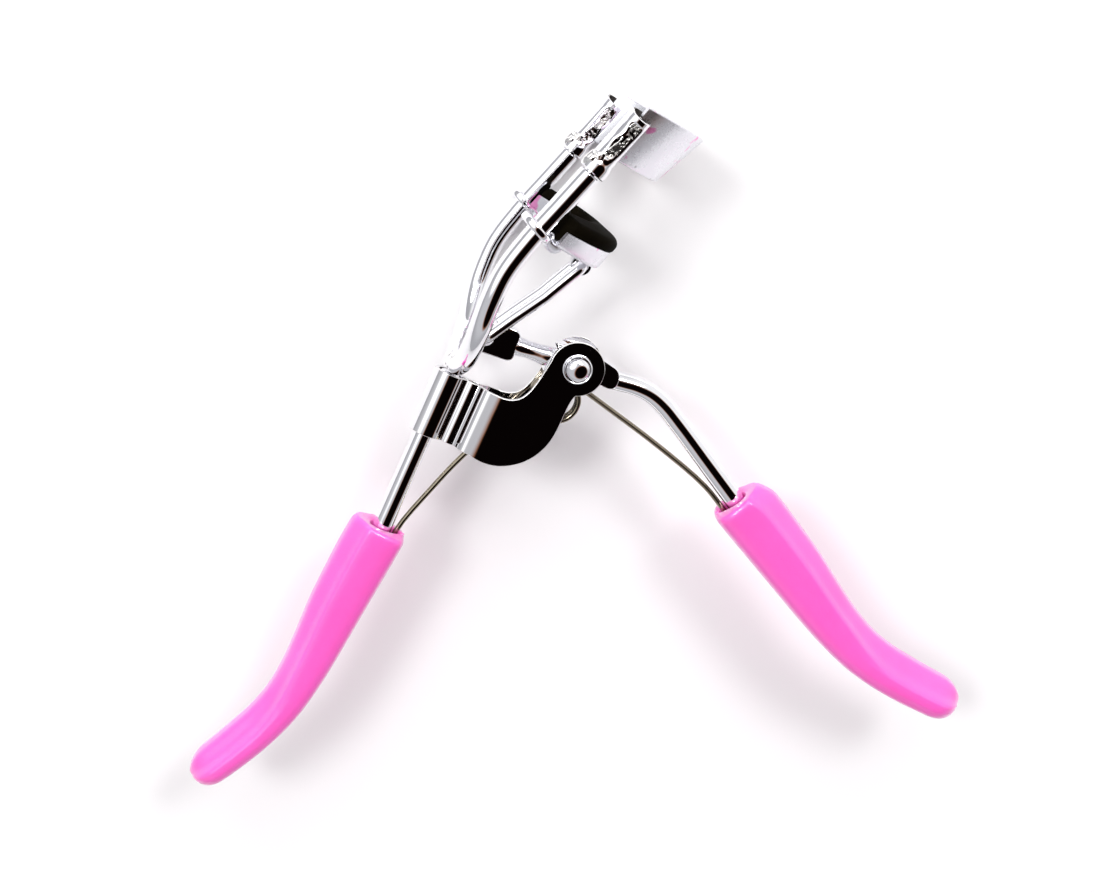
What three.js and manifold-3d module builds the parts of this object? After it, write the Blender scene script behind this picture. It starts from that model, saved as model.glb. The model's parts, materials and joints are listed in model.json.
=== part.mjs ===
// Eyelash curler lying on its side. Millimetres. +Y runs up the guide prongs (the way the jaw
// travels), +X is the side the jaws bulge to and the moving handle opens to, +Z is the pivot axis.
// Everything is laid out from the pivot axis and moved at the end so that the origin is the
// middle of the bottom of the whole tool.
import * as THREE from 'three';
import Module from 'manifold-3d';

const wasm = await Module();
wasm.setup();

// ---- driving dimensions -----------------------------------------------------------------
const gap = 0.3;                  // air left between pieces that touch
const rodRadius = 1.45;           // handle rods and guide prongs
const yokeWireRadius = 0.85;
const springWireRadius = 0.4;

const stemTop = [-12.6, -12.4];   // upper end of the stem rod
const stemLean = 18.2;            // degrees the stem leans away from the prongs
const stemBelowTop = 24.6;        // stem top to the face of the fixed grip
const rodInGrip = 14.0;           // length of rod buried in a grip

const prongX = -18.95;            // straight part of both prongs
const prongSpread = 15.5;         // each prong from the mid-plane
const prongTipY = 30.7;
const prongNeckY = 21.1;          // the prong is turned down above this, inside the sleeve
const prongNeckRadius = 0.95;

const jawArcPastProng = 2.3;      // plan radius of both jaws less the prongs' spread
const jawArcSetback = 8.7;        // centre of that arc behind the prongs
const jawRise = 0.2;              // how much the jaws climb towards the middle, per mm
const plateThickness = 0.6;
const plateBottomY = 24.4;        // at the sleeves
const plateHeight = 8.1;
const plateHeightGain = 0.05;     // the plate grows taller towards its middle, per mm
const plateLean = 0.13;           // outward lean of the plate at its middle
const plateShortOfProng = 1.0;    // degrees along the arc
const sleeveRadius = 1.65;
const sleeveBottomY = 21.4;
const sleeveTopY = 31.4;
const collarRadius = 1.9;
const collarHeight = 1.8;

const jawGap = 9.2;               // open gap between the pad and the plate
const channelHalfWidth = 2.35;
const channelWall = 0.6;
const channelTopY = 13.45;
const channelBottomY = 11.2;
const channelShortOfProng = 6.5;
const padShortOfProng = 8.0;
const tabShortOfProng = 1.3;      // middle of the tab that ties the channel to its eyelet
const eyeletRadius = 2.5;
const eyeletY = [10.6, 12.3];
const knuckle = [-9.3, 11.0];
const knuckleRadius = 1.6;
const knuckleHalfLength = 1.4;

const bossRadius = 3.85;
const cheekOuterZ = 2.7;
const cheekThickness = 0.7;
const barrelRadius = 2.3;
const barrelBore = rodRadius + gap;
const rivetShaftRadius = 0.9;
const rivetHeadRadius = 2.05;
const rivetHeadHeight = 1.45;
const rivetHole = rivetShaftRadius + gap;

const hubPlay = 0.4;              // the lever's hub from the inside of each cheek
const hubEyeRadius = 1.7;
const leverPin = [-12.5, -5.3];   // centre of the yoke foot in the lever block
const pinHoleRadius = 1.5;        // loose on the yoke wire, so the foot can shift as it swings
const blockHalfHeight = 2.35;
const blockHalfThickness = 1.4;
const yokeSpread = 2.6;           // each leg from the mid-plane

const coilCentre = [1.1, -5.4];
const coilRadius = 3.1;
const coilTurns = 3;
const coilPlay = 0.35;            // the coil's wire from the inside of each cheek

const leverFace = [30.7, 0.7];   // where the lever rod enters its grip
const leverDroop = 11.3;           // degrees the lever rod falls towards its grip
const fixedGripSplay = 5.4;       // degrees each grip leans outwards from its own rod
const movingGripSplay = 2.5;
const movingGripFuller = 0.4;     // the moving grip sits turned on its rod and looks deeper outwards
const gripTailStart = 43.4;       // beyond this the grip closes to its rounded end
const gripDepthAtFace = 3.9;      // half depth at the rod end
const gripDepthAtTail = 4.4;
const springOffset = rodRadius + springWireRadius + 0.22;
const springInGrip = 8.0;

// ---- sizes that follow ------------------------------------------------------------------
const jawArcRadius = prongSpread + jawArcPastProng;
const jawArcCentreX = prongX - jawArcSetback;
// Where the prongs stand on the jaws' arc, to the half degree below.
const prongAngle = Math.floor(Math.atan2(prongSpread, jawArcSetback) * (180 / Math.PI) * 2) / 2;
const plateHalfAngle = prongAngle - plateShortOfProng;
const channelHalfAngle = prongAngle - channelShortOfProng;
const padHalfAngle = prongAngle - padShortOfProng;
const cheekInnerZ = cheekOuterZ - cheekThickness;
const hubHalfThickness = cheekInnerZ - hubPlay;
const coilHalfHeight = cheekInnerZ - coilPlay - springWireRadius;

// ---- helpers ----------------------------------------------------------------------------
const rad = THREE.MathUtils.degToRad;
const V2 = (p) => new THREE.Vector2(p[0], p[1]);
const V3 = (x, y, z) => new THREE.Vector3(x, y, z);

function solid(geometry) {
  const clean = new THREE.BufferGeometry();
  const flat = geometry.index ? geometry.toNonIndexed() : geometry;
  clean.setAttribute('position', flat.getAttribute('position').clone());
  const welded = mergeByPosition(clean);
  const mesh = new wasm.Mesh({ numProp: 3, vertProperties: welded.verts, triVerts: welded.tris });
  mesh.merge();
  return new wasm.Manifold(mesh);
}

function mergeByPosition(geometry) {
  const p = geometry.getAttribute('position');
  const seen = new Map();
  const verts = [];
  const index = [];
  for (let i = 0; i < p.count; i += 1) {
    const key = [p.getX(i), p.getY(i), p.getZ(i)].map((v) => Math.round(v * 1e4)).join(' ');
    if (!seen.has(key)) {
      seen.set(key, verts.length / 3);
      verts.push(p.getX(i), p.getY(i), p.getZ(i));
    }
    index.push(seen.get(key));
  }
  const tris = [];
  for (let i = 0; i < index.length; i += 3) {
    const [a, b, c] = index.slice(i, i + 3);
    if (a !== b && b !== c && a !== c) tris.push(a, b, c);
  }
  return { verts: new Float32Array(verts), tris: new Uint32Array(tris) };
}

const group = new THREE.Group();
group.name = 'eyelash_curler';

function addPiece(name, body, colour, metalness, roughness) {
  const out = body.getMesh();
  const geometry = new THREE.BufferGeometry();
  geometry.setAttribute('position', new THREE.BufferAttribute(new Float32Array(out.vertProperties), 3));
  geometry.setIndex(new THREE.BufferAttribute(new Uint32Array(out.triVerts), 1));
  geometry.computeVertexNormals();
  const material = new THREE.MeshStandardMaterial({ color: colour, metalness, roughness });
  material.name = `${name}_material`;
  const mesh = new THREE.Mesh(geometry, material);
  mesh.name = name;
  group.add(mesh);
}

// A flat outline pushed evenly to both sides of the mid-plane.
function slab(shape, halfThickness, curveSegments = 10) {
  const g = new THREE.ExtrudeGeometry(shape, {
    depth: 2 * halfThickness, bevelEnabled: false, curveSegments,
  });
  g.translate(0, 0, -halfThickness);
  return solid(g);
}

function rod(x, y, z0, z1, radius, sides = 28) {
  const g = new THREE.CylinderGeometry(radius, radius, z1 - z0, sides);
  g.rotateX(Math.PI / 2);
  g.translate(x, y, (z0 + z1) / 2);
  return solid(g);
}

function upright(x, z, y0, y1, lowerRadius, upperRadius = lowerRadius, sides = 28) {
  const g = new THREE.CylinderGeometry(upperRadius, lowerRadius, y1 - y0, sides);
  g.translate(x, (y0 + y1) / 2, z);
  return solid(g);
}

function between(a, b, radius, sides = 28) {
  const from = V3(...a);
  const to = V3(...b);
  const g = new THREE.CylinderGeometry(radius, radius, from.distanceTo(to), sides);
  const turn = new THREE.Quaternion().setFromUnitVectors(V3(0, 1, 0), to.clone().sub(from).normalize());
  g.applyQuaternion(turn);
  const mid = from.add(to).multiplyScalar(0.5);
  g.translate(mid.x, mid.y, mid.z);
  return solid(g);
}

// A round wire along a line of points, its corners eased to the given bend radius.
function wire(points, radius, { bend = 0, sides = 12, pitch = 1.0 } = {}) {
  const path = new THREE.CurvePath();
  let from = points[0];
  for (let i = 1; i < points.length - 1; i += 1) {
    const before = points[i - 1].clone().sub(points[i]).normalize();
    const after = points[i + 1].clone().sub(points[i]).normalize();
    const half = before.angleTo(after) / 2;
    const reach = bend > 0 ? bend / Math.tan(half) : 0;
    const start = points[i].clone().addScaledVector(before, reach);
    const end = points[i].clone().addScaledVector(after, reach);
    path.add(new THREE.LineCurve3(from, start));
    path.add(new THREE.QuadraticBezierCurve3(start, points[i], end));
    from = end;
  }
  path.add(new THREE.LineCurve3(from, points[points.length - 1]));
  return sweep(path, radius, sides, Math.ceil(path.getLength() / pitch));
}

function sweep(path, radius, sides, steps) {
  const ring = new THREE.Shape();
  for (let i = 0; i < sides; i += 1) {
    const a = (2 * Math.PI * i) / sides;
    if (i === 0) ring.moveTo(radius, 0);
    else ring.lineTo(radius * Math.cos(a), radius * Math.sin(a));
  }
  ring.closePath();
  const g = new THREE.ExtrudeGeometry(ring, { extrudePath: path, steps, bevelEnabled: false });
  return solid(g);
}

// Skin a row of rings that all have the same number of points, and close both ends.
function skin(rings) {
  const n = rings[0].length;
  const verts = rings.flat();
  const tris = [];
  for (let r = 0; r < rings.length - 1; r += 1) {
    for (let i = 0; i < n; i += 1) {
      const a = r * n + i;
      const b = r * n + ((i + 1) % n);
      tris.push(a, b, b + n, a, b + n, a + n);
    }
  }
  for (const [at, flip] of [[0, true], [(rings.length - 1) * n, false]]) {
    for (let i = 1; i < n - 1; i += 1) {
      if (flip) tris.push(at, at + i + 1, at + i);
      else tris.push(at, at + i, at + i + 1);
    }
  }
  const mesh = new wasm.Mesh({
    numProp: 3,
    vertProperties: new Float32Array(verts.flatMap((v) => [v.x, v.y, v.z])),
    triVerts: new Uint32Array(tris),
  });
  const body = new wasm.Manifold(mesh);
  if (body.volume() > 0) return body;
  for (let i = 0; i < tris.length; i += 3) [tris[i + 1], tris[i + 2]] = [tris[i + 2], tris[i + 1]];
  return new wasm.Manifold(new wasm.Mesh({
    numProp: 3, vertProperties: mesh.vertProperties, triVerts: new Uint32Array(tris),
  }));
}

const stemDown = V2([Math.sin(rad(stemLean)), -Math.cos(rad(stemLean))]);
const stemAcross = V2([Math.cos(rad(stemLean)), Math.sin(rad(stemLean))]);
const onStem = (along, across = 0) => V2(stemTop)
  .addScaledVector(stemDown, along).addScaledVector(stemAcross, across);

// ---- fixed frame: stem, two prongs, bracket, rivet ---------------------------------------
const stemEnd = onStem(stemBelowTop + rodInGrip);
const stemRod = between([stemTop[0], stemTop[1], 0], [stemEnd.x, stemEnd.y, 0], rodRadius);
addPiece('stem_rod', stemRod, 0xd8dadd, 1.0, 0.15);

function prong(side) {
  const crotch = onStem(-rodRadius - gap);
  const line = new THREE.CatmullRomCurve3([
    V3(crotch.x, crotch.y, side * gap / 2),
    V3(crotch.x, crotch.y + 0.35, side * 4.2),
    V3(-13.6, -8.7, side * 8.6),
    V3(-14.6, -6.0, side * 12.0),
    V3(-15.9, -3.0, side * 14.3),
    V3(-17.3, 0.4, side * prongSpread * 0.985),
    V3(-18.5, 4.4, side * prongSpread),
    V3(prongX, 9.5, side * prongSpread),
    V3(prongX, 16.0, side * prongSpread),
    V3(prongX, prongNeckY, side * prongSpread),
  ], false, 'centripetal');
  const bar = sweep(line, rodRadius, 20, 44);
  const tip = upright(prongX, side * prongSpread, prongNeckY - 0.4, prongTipY, prongNeckRadius);
  return bar.add(tip);
}
addPiece('prong_front', prong(1), 0xd8dadd, 1.0, 0.15);
addPiece('prong_back', prong(-1), 0xd8dadd, 1.0, 0.15);

function bracket() {
  // Folded section: barrel round the stem, pinched neck, then two cheeks with a slot between.
  const far = 26;
  const inner = cheekInnerZ;
  const upper = [[6.6, cheekOuterZ], [5.9, cheekOuterZ - 0.25], [5.3, cheekOuterZ - 0.8],
    [4.8, cheekOuterZ - 1.35], [4.3, cheekOuterZ - 1.65],
    [3.7, 1.15], [3.2, 1.1], [2.75, 0.85], [2.35, 0.85]];
  const wrap = [];
  for (let a = 26; a <= 334; a += 14) {
    wrap.push([barrelRadius * Math.cos(rad(a)), barrelRadius * Math.sin(rad(a))]);
  }
  const lower = upper.map(([s, z]) => [s, -z]).reverse();
  const slot = [[far, -inner], [6.8, -inner], [6.2, 0.3 - inner], [5.6, 1 - inner], [5.1, 0],
    [5.6, inner - 1], [6.2, inner - 0.3], [6.8, inner], [far, inner]];
  const section = new THREE.Shape(
    [[far, cheekOuterZ], ...upper, ...wrap, ...lower, [far, -cheekOuterZ], ...slot].map(V2));
  const bore = new THREE.Path();
  bore.absarc(0, 0, barrelBore, 0, 2 * Math.PI, true);
  section.holes.push(bore);
  const g = new THREE.ExtrudeGeometry(section, { depth: 44, bevelEnabled: false, curveSegments: 20 });
  const place = new THREE.Matrix4().makeBasis(
    V3(stemAcross.x, stemAcross.y, 0), V3(0, 0, 1), V3(stemDown.x, stemDown.y, 0));
  g.translate(0, 0, -22);
  g.applyMatrix4(place);
  g.translate(stemTop[0], stemTop[1], 0);
  const sheet = solid(g);

  const outline = new THREE.Shape();
  const topLeft = onStem(0, -2.8);
  const topBend = onStem(0.1, 7.6);
  const bottomBend = onStem(9.5, 7.0);
  const bottomLeft = onStem(9.5, -2.8);
  outline.moveTo(topLeft.x, topLeft.y);
  outline.lineTo(topBend.x, topBend.y);
  outline.bezierCurveTo(-3.2, -9.4, -2.8, -8.0, -2.85, -6.2);
  outline.bezierCurveTo(-2.95, -4.4, -3.3, -3.2, -3.55, -1.5);
  const from = Math.atan2(-1.5, -3.55);
  outline.absarc(0, 0, bossRadius, from, rad(-52), true);
  outline.bezierCurveTo(2.3, -3.9, 2.6, -4.8, 2.9, -5.7);
  outline.bezierCurveTo(3.4, -7.4, 4.25, -9.2, 4.2, -11.4);
  outline.bezierCurveTo(4.15, -14.4, 2.6, -16.6, 0.9, -17.9);
  outline.bezierCurveTo(-0.5, -18.9, -1.9, -19.2, bottomBend.x, bottomBend.y);
  outline.lineTo(bottomLeft.x, bottomLeft.y);
  outline.closePath();
  return sheet.intersect(slab(outline, 4, 8)).subtract(rod(0, 0, -4, 4, rivetHole));
}
addPiece('pivot_bracket', bracket(), 0xcfd1d4, 1.0, 0.12);

function rivet() {
  const under = cheekOuterZ + gap;
  const dome = [];
  for (let i = 0; i <= 8; i += 1) {
    const a = rad(90 - 90 * (i / 8));
    dome.push([rivetHeadRadius * Math.cos(a), under + 0.15 + (rivetHeadHeight - 0.15) * Math.sin(a)]);
  }
  const half = [...dome, [rivetHeadRadius, under], [rivetShaftRadius, under]];
  const whole = [...half, ...half.map(([r, z]) => [r, -z]).reverse()];
  const g = new THREE.LatheGeometry(whole.map(([r, z]) => V2([Math.max(r, 0), z])), 28);
  g.rotateX(Math.PI / 2);
  const body = solid(g);
  if (body.volume() > 0) return body;
  const turned = g.toNonIndexed();
  const p = turned.getAttribute('position');
  for (let i = 0; i < p.count; i += 3) {
    const b = [p.getX(i + 1), p.getY(i + 1), p.getZ(i + 1)];
    p.setXYZ(i + 1, p.getX(i + 2), p.getY(i + 2), p.getZ(i + 2));
    p.setXYZ(i + 2, ...b);
  }
  return solid(turned);
}
addPiece('pivot_rivet', rivet(), 0xe2e4e6, 1.0, 0.1);

// ---- jaws -------------------------------------------------------------------------------
const arcPoint = (angle, radius) => ({
  x: jawArcCentreX + radius * Math.cos(rad(angle)), z: radius * Math.sin(rad(angle)),
});
const rise = (angle) => jawRise * (arcPoint(angle, jawArcRadius).x - arcPoint(plateHalfAngle, jawArcRadius).x);

// A strip bent round the jaw arc; corners(angle) gives its section as [radius, y] pairs.
function bentStrip(halfAngle, steps, corners) {
  const rings = [];
  for (let i = 0; i <= steps; i += 1) {
    const angle = -halfAngle + (2 * halfAngle * i) / steps;
    rings.push(corners(angle).map(([r, y]) => {
      const p = arcPoint(angle, r);
      return V3(p.x, y, p.z);
    }));
  }
  return skin(rings);
}

function upperJaw() {
  const half = plateThickness / 2;
  let body = bentStrip(plateHalfAngle, 32, (angle) => {
    const k = rise(angle);
    const low = plateBottomY + k;
    const high = low + plateHeight + plateHeightGain * k / jawRise;
    const lean = plateLean * (high - low) * Math.min(1, k / rise(0));
    return [[jawArcRadius - half, low], [jawArcRadius + half, low],
      [jawArcRadius + half + lean, high], [jawArcRadius - half + lean, high]];
  });
  for (const side of [-1, 1]) {
    const z = side * prongSpread;
    body = body.add(upright(prongX, z, sleeveBottomY, sleeveTopY, sleeveRadius));
    body = body.add(upright(prongX, z, sleeveBottomY, sleeveBottomY + collarHeight,
      collarRadius, sleeveRadius));
  }
  for (const side of [-1, 1]) {
    body = body.subtract(upright(prongX, side * prongSpread, sleeveBottomY - 1,
      prongTipY + gap, prongNeckRadius + gap));
  }
  return body;
}
addPiece('upper_jaw_plate', upperJaw(), 0xd9dcdf, 1.0, 0.15);

function padHolder() {
  const outer = jawArcRadius + channelHalfWidth;
  const inner = jawArcRadius - channelHalfWidth;
  let body = bentStrip(channelHalfAngle, 28, (angle) => {
    const k = rise(angle);
    const low = channelBottomY + k / 2;
    return [[inner, low + 0.5], [inner + 0.5, low], [outer - 0.5, low], [outer, low + 0.5],
      [outer, channelTopY + k], [inner, channelTopY + k]];
  });
  const trough = bentStrip(channelHalfAngle + 4, 28, (angle) => {
    const k = rise(angle);
    const floor = channelBottomY + k / 2 + channelWall;
    const high = channelTopY + k + 1;
    return [[inner + channelWall, floor], [outer - channelWall, floor],
      [outer - channelWall, high], [inner + channelWall, high]];
  });
  body = body.subtract(trough);
  for (const side of [-1, 1]) {
    const low = channelBottomY + 0.1;
    const tab = bentStrip(6.2, 4, () => [[inner + 1.1, low], [outer - 1.1, low],
      [outer - 1.1, low + 1.1], [inner + 1.1, low + 1.1]]);
    body = body.add(tab.translate([-jawArcCentreX, 0, 0]).rotate([0, -side * (prongAngle - tabShortOfProng), 0])
      .translate([jawArcCentreX, 0, 0]));
    body = body.add(upright(prongX, side * prongSpread, eyeletY[0], eyeletY[1], eyeletRadius));
  }
  body = body.add(rod(...knuckle, -knuckleHalfLength, knuckleHalfLength, knuckleRadius, 24));
  body = body.subtract(rod(...knuckle, -4, 4, yokeWireRadius + gap, 20));
  for (const side of [-1, 1]) {
    body = body.subtract(upright(prongX, side * prongSpread, eyeletY[0] - 2, eyeletY[1] + 3,
      rodRadius + gap));
  }
  return body;
}
addPiece('pad_holder', padHolder(), 0xd4d7da, 1.0, 0.15);

function rubberPad() {
  const wide = channelHalfWidth - 0.05;
  const narrow = channelHalfWidth - channelWall - gap;
  return bentStrip(padHalfAngle, 30, (angle) => {
    const k = rise(angle);
    const top = plateBottomY + k - jawGap;
    const seat = channelTopY + k + gap;
    const foot = channelBottomY + k / 2 + channelWall + gap;
    const at = (r, y) => [jawArcRadius + r, y];
    return [at(-narrow, foot), at(narrow, foot), at(narrow, seat), at(wide, seat),
      at(wide, top - 1.15), at(wide - 0.25, top - 0.65), at(wide - 0.75, top - 0.2),
      at(wide - 1.4, top), at(1.4 - wide, top), at(0.75 - wide, top - 0.2),
      at(0.25 - wide, top - 0.65), at(-wide, top - 1.15), at(-wide, seat), at(-narrow, seat)];
  });
}
addPiece('rubber_pad', rubberPad(), 0x15130f, 0.0, 0.6);

// ---- push yoke --------------------------------------------------------------------------
function pushYoke() {
  const leg = (side) => [
    V3(leverPin[0], leverPin[1], side * yokeSpread),
    V3(-10.6, 3.9, side * yokeSpread),
    V3(knuckle[0], knuckle[1], side * yokeSpread),
  ];
  const points = [
    V3(leverPin[0], leverPin[1], gap / 2),
    ...leg(1), ...leg(-1).reverse(),
    V3(leverPin[0], leverPin[1], -gap / 2),
  ];
  return wire(points, yokeWireRadius, { bend: 1.15, sides: 14, pitch: 0.6 });
}
addPiece('push_yoke', pushYoke(), 0xd8dadd, 1.0, 0.15);

// ---- lever ------------------------------------------------------------------------------
const leverOut = V2([Math.cos(rad(leverDroop)), -Math.sin(rad(leverDroop))]);
const leverUp = V2([Math.sin(rad(leverDroop)), Math.cos(rad(leverDroop))]);

function leverArm() {
  const reach = Math.hypot(...leverPin);
  const out = V2(leverPin).normalize();
  const up = V2([out.y, -out.x]).multiplyScalar(Math.sign(-out.x) || 1);
  const at = (along, above) => [out.x * along + up.x * above, out.y * along + up.y * above];

  const block = new THREE.Shape();
  block.moveTo(...at(9.2, -blockHalfHeight + 0.15));
  block.lineTo(...at(reach + 0.6, -blockHalfHeight));
  block.bezierCurveTo(...at(reach + 2.6, -blockHalfHeight), ...at(reach + 3.2, 0.4),
    ...at(reach + 1.6, blockHalfHeight - 0.5));
  block.bezierCurveTo(...at(reach + 1.2, blockHalfHeight), ...at(reach + 0.6, blockHalfHeight),
    ...at(reach, blockHalfHeight));
  block.lineTo(...at(9.2, blockHalfHeight - 0.15));
  block.closePath();

  const hub = new THREE.Shape();
  hub.moveTo(-4.4, 0.75);
  hub.bezierCurveTo(-2.6, 1.9, -1.2, 2.9, 0.6, 3.2);
  hub.lineTo(4.7, 3.7);
  hub.lineTo(5.9, 0.8);
  hub.bezierCurveTo(4.2, 0.5, 2.4, -0.4, 1.2, -1.2);
  hub.absarc(0, 0, hubEyeRadius, rad(-45), rad(-122), true);
  hub.bezierCurveTo(-1.9, -2.2, -2.6, -3.2, -3.3, -3.45);
  hub.closePath();

  const neck = between([...at(9.9, 0), 0], [...at(3.0, 0), 0], rodRadius);
  const end = V2(leverFace).addScaledVector(leverOut, rodInGrip);
  const straight = V2(leverFace).addScaledVector(leverOut, -14.4);
  const crank = new THREE.CatmullRomCurve3([
    V3(4.0, 1.35, 0), V3(5.9, 2.3, 0), V3(8.2, 3.4, 0), V3(10.5, 4.05, 0), V3(12.9, 4.1, 0),
    V3(straight.x, straight.y, 0),
    V3(straight.x + leverOut.x * 7, straight.y + leverOut.y * 7, 0), V3(end.x, end.y, 0),
  ], false, 'centripetal');
  return slab(block, blockHalfThickness)
    .add(slab(hub, hubHalfThickness, 12))
    .add(neck)
    .add(sweep(crank, rodRadius, 20, 40))
    .subtract(rod(0, 0, -4, 4, rivetHole))
    .subtract(rod(...leverPin, -4, 4, pinHoleRadius));
}
addPiece('lever_arm', leverArm(), 0xd8dadd, 1.0, 0.15);

// ---- torsion spring ----------------------------------------------------------------------
const fixedFace = onStem(stemBelowTop);
const springFixed = (depth) => onStem(stemBelowTop + depth, springOffset);
const springMoving = (depth) => V2(leverFace).addScaledVector(leverOut, depth)
  .addScaledVector(leverUp, -springOffset);

function torsionSpring() {
  const points = [];
  const add = (p, z) => points.push(V3(p.x, p.y, z));
  add(springFixed(springInGrip), 0);
  add(springFixed(0), 0);
  add(V2([-3.4, -27.0]), 0.35);
  add(V2([-3.35, -20.2]), 0.7);
  add(V2([-2.4, -11.0]), coilHalfHeight);
  const total = 84 + 360 * coilTurns;
  for (let a = 0; a <= total; a += 12) {
    const turn = rad(180 - a);
    add(V2([coilCentre[0] + coilRadius * Math.cos(turn), coilCentre[1] + coilRadius * Math.sin(turn)]),
      coilHalfHeight - (2 * coilHalfHeight * a) / total);
  }
  add(V2([8.0, -1.6]), -coilHalfHeight * 0.8);
  add(V2([17.0, -0.85]), -coilHalfHeight * 0.5);
  add(V2([26.0, -0.65]), -coilHalfHeight * 0.15);
  add(springMoving(0.6), 0);
  add(springMoving(springInGrip), 0);
  const line = new THREE.CatmullRomCurve3(points, false, 'centripetal');
  line.arcLengthDivisions = 1200;
  return sweep(line, springWireRadius, 8, 190);
}
addPiece('torsion_spring', torsionSpring(), 0xb9b6ae, 1.0, 0.2);

// ---- grips ------------------------------------------------------------------------------
// Stations along a grip: distance from the face, outward offset of the centre line,
// half height in the plane of the handles, and how far the section has grown from the
// face depth to the tail depth.
const gripStations = [
  [0.0, 0.3, 3.6, 0], [0.35, 0.3, 4.0, 0], [1.2, 0.3, 4.2, 0], [4.0, 0.35, 4.2, 0.02],
  [9.0, 0.3, 4.1, 0.06], [14.0, 0.2, 3.95, 0.12], [20.0, -0.1, 3.6, 0.25],
  [25.0, -0.2, 3.3, 0.45], [30.0, 0.15, 3.1, 0.7], [34.3, 1.1, 3.0, 0.9], [38.0, 2.35, 2.95, 1],
  [41.3, 3.65, 2.75, 1], [43.8, 4.8, 2.4, 1], [45.6, 5.6, 1.9, 1], [46.5, 6.05, 1.3, 1],
  [46.9, 6.25, 0.65, 1],
];

function grip(face, alongDir, outDir, rodDir, rodOut, fuller = 0) {
  const points = 28;
  const rings = gripStations.map(([along, out, half, grown], i) => {
    const before = gripStations[Math.max(0, i - 1)];
    const after = gripStations[Math.min(gripStations.length - 1, i + 1)];
    const slope = V2([after[0] - before[0], after[1] - before[1]]).normalize();
    if (i < 3) slope.set(1, 0);
    const blunt = Math.min(1, 0.82 + 0.18 * Math.min(1, along / 1.2));
    const depth = gripDepthAtFace + (gripDepthAtTail - gripDepthAtFace) * grown;
    const shrink = Math.sqrt(1 - (Math.max(0, along - gripTailStart) / 4.8) ** 2);
    const swell = fuller * Math.min(1, along / 6);
    const ring = [];
    for (let k = 0; k < points; k += 1) {
      const a = (2 * Math.PI * k) / points;
      const squareness = 0.62;
      const c = Math.sign(Math.cos(a)) * Math.abs(Math.cos(a)) ** squareness;
      const s = Math.sign(Math.sin(a)) * Math.abs(Math.sin(a)) ** squareness;
      const z = depth * blunt * shrink * s;
      const reachOut = (half + swell) * c;
      const u = along - slope.y * reachOut;
      const v = out + swell + slope.x * reachOut;
      ring.push(V3(face.x + alongDir.x * u + outDir.x * v, face.y + alongDir.y * u + outDir.y * v, z));
    }
    return ring;
  });
  const hole = (offset, radius, depth, sides) => {
    const a = face.clone().addScaledVector(rodDir, -4).addScaledVector(rodOut, offset);
    const b = face.clone().addScaledVector(rodDir, depth).addScaledVector(rodOut, offset);
    return between([a.x, a.y, 0], [b.x, b.y, 0], radius, sides);
  };
  return skin(rings)
    .subtract(hole(0, rodRadius + gap, rodInGrip + gap, 24))
    .subtract(hole(-springOffset, springWireRadius + gap, springInGrip + gap, 16));
}

const fixedLean = rad(stemLean - fixedGripSplay);
const fixedAlong = V2([Math.sin(fixedLean), -Math.cos(fixedLean)]);
const fixedOut = V2([-Math.cos(fixedLean), -Math.sin(fixedLean)]);
const movingLean = rad(leverDroop - movingGripSplay);
const movingAlong = V2([Math.cos(movingLean), -Math.sin(movingLean)]);
const movingOut = V2([Math.sin(movingLean), Math.cos(movingLean)]);
addPiece('fixed_grip', grip(fixedFace, fixedAlong, fixedOut, stemDown,
  stemAcross.clone().multiplyScalar(-1)), 0xff7fe0, 0.0, 0.4);
addPiece('moving_grip', grip(V2(leverFace), movingAlong, movingOut, leverOut, leverUp,
  movingGripFuller), 0xff7fe0, 0.0, 0.4);

// ---- put the origin under the middle of the tool -----------------------------------------
const box = new THREE.Box3().setFromObject(group);
const shift = V3(-(box.min.x + box.max.x) / 2, -(box.min.y + box.max.y) / 2, -box.min.z);
group.children.forEach((mesh) => mesh.geometry.translate(shift.x, shift.y, shift.z));

export default group;
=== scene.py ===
import json
import math

import bmesh
import bpy
from mathutils import Matrix, Vector
from mathutils.geometry import interpolate_bezier


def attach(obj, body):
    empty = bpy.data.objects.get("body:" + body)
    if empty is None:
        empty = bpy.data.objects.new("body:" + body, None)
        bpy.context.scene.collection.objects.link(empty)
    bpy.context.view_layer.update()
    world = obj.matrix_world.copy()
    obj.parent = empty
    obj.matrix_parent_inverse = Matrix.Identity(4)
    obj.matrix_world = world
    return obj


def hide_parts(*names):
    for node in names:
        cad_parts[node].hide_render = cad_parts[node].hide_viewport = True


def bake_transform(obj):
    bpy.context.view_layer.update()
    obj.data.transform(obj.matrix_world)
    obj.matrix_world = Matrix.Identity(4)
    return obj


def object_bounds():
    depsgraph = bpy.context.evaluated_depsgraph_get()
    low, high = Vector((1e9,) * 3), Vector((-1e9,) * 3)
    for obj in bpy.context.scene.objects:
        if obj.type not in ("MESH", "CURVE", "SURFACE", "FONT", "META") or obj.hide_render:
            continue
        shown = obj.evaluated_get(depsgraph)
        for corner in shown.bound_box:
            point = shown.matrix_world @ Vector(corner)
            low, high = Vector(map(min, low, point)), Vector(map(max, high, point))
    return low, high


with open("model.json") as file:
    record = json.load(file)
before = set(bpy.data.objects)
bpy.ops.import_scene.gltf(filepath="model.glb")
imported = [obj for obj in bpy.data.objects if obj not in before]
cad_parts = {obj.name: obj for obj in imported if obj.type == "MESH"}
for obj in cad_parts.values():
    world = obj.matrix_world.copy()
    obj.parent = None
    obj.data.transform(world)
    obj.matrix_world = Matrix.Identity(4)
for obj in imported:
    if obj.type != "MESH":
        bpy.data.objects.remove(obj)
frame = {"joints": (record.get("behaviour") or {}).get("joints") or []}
cad_box = [list(corner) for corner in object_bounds()]

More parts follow.
